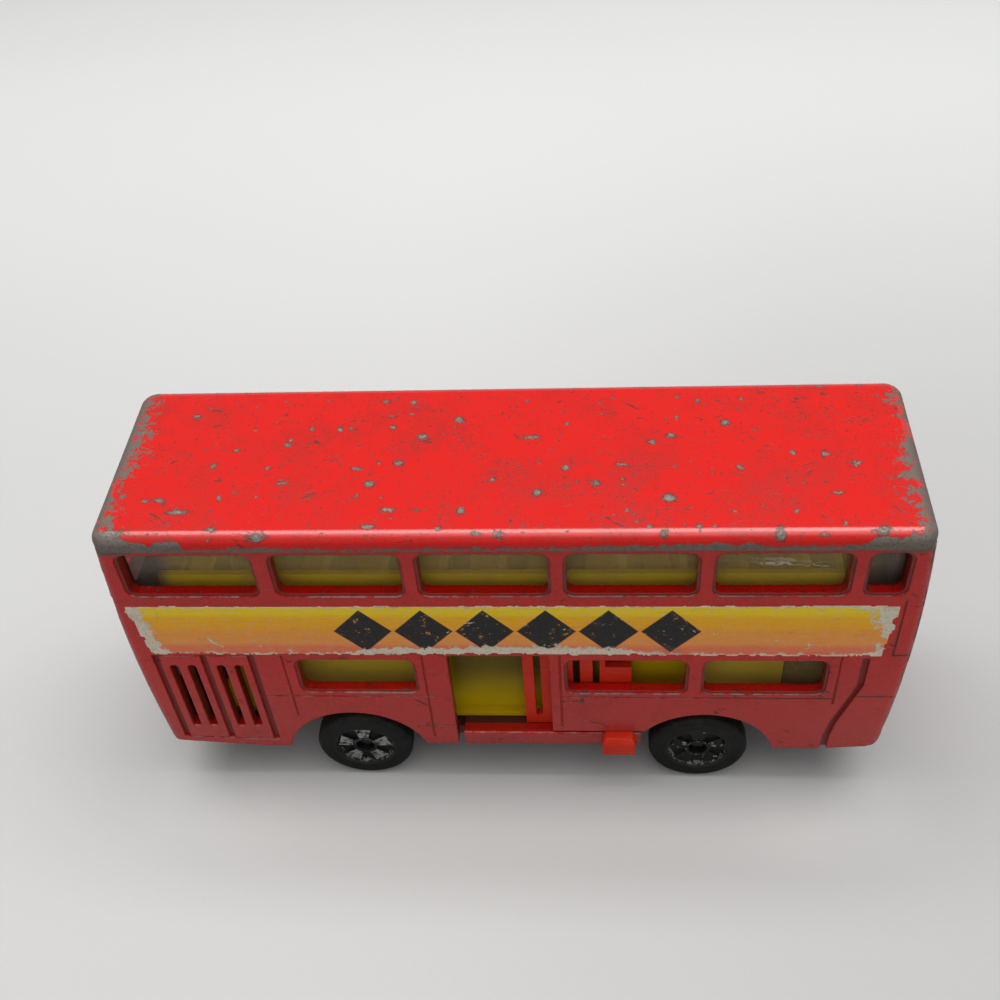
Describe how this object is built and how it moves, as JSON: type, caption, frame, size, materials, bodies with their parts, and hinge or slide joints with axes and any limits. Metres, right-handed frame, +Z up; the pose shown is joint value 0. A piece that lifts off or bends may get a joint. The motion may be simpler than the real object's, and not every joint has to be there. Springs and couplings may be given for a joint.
{
  "type": "toy double-decker bus",
  "caption": "Worn die-cast toy double-decker bus with a sliding entrance door worked by a finger tab, see-through windows, yellow plastic decks and freely rolling wheels.",
  "frame": {"origin": "on the floor under the middle of the bounding box, 0.9 mm to the entrance side of the bus's own centre plane because the finger tab stands out on that side", "axes": "+X toward the rear of the bus, -Y toward the side with the doors, +Z up"},
  "size_m": [0.1222, 0.0354, 0.0614],
  "materials": {
    "red_paint": "gloss enamel on cast zinc, chipped at the edges",
    "base_paint": "gloss enamel on cast zinc",
    "yellow_plastic": "moulded, satin",
    "clear_plastic": "clear styrene, slightly hazed",
    "orange_red_plastic": "moulded, glossy",
    "axle_steel": "drawn wire",
    "black_plastic": "moulded, with worn silver foil on the hub pads",
    "label_paper": "printed paper, scuffed at the edges",
    "lens_clear": "moulded, silvered behind",
    "lens_red": "moulded, glossy"
  },
  "bodies": {
    "bus": {"body_casting": "red_paint", "base_plate": "base_paint", "lower_deck": "yellow_plastic", "upper_deck": "yellow_plastic", "upper_glazing": "clear_plastic", "windscreen": "clear_plastic", "offside_glazing": "clear_plastic", "nearside_front_pane": "clear_plastic", "nearside_rear_pane": "clear_plastic", "front_axle": "axle_steel", "rear_axle": "axle_steel", "nearside_label": "label_paper", "headlamp_lenses": "lens_clear", "rear_lamp_near": "lens_red", "rear_lamp_off": "lens_red"},
    "door": {"door_slide": "orange_red_plastic"},
    "front_near_wheel": {"wheel_front_near": "black_plastic"},
    "front_off_wheel": {"wheel_front_off": "black_plastic"},
    "rear_near_wheel": {"wheel_rear_near": "black_plastic"},
    "rear_off_wheel": {"wheel_rear_off": "black_plastic"}
  },
  "joints": [
    {"name": "door_slide", "type": "slide", "parent": "bus", "child": "door", "axis": [1, 0, 0], "range_m": [-0.0119, 0]},
    {"name": "front_near_wheel_spin", "type": "hinge", "parent": "bus", "child": "front_near_wheel", "pos_m": [-0.0268, -0.0132, 0.0082], "axis": [0, 1, 0], "continuous": true},
    {"name": "front_off_wheel_spin", "type": "hinge", "parent": "bus", "child": "front_off_wheel", "pos_m": [-0.0268, 0.015, 0.0082], "axis": [0, 1, 0], "continuous": true},
    {"name": "rear_near_wheel_spin", "type": "hinge", "parent": "bus", "child": "rear_near_wheel", "pos_m": [0.03, -0.0132, 0.0082], "axis": [0, 1, 0], "continuous": true},
    {"name": "rear_off_wheel_spin", "type": "hinge", "parent": "bus", "child": "rear_off_wheel", "pos_m": [0.03, 0.015, 0.0082], "axis": [0, 1, 0], "continuous": true}
  ]
}
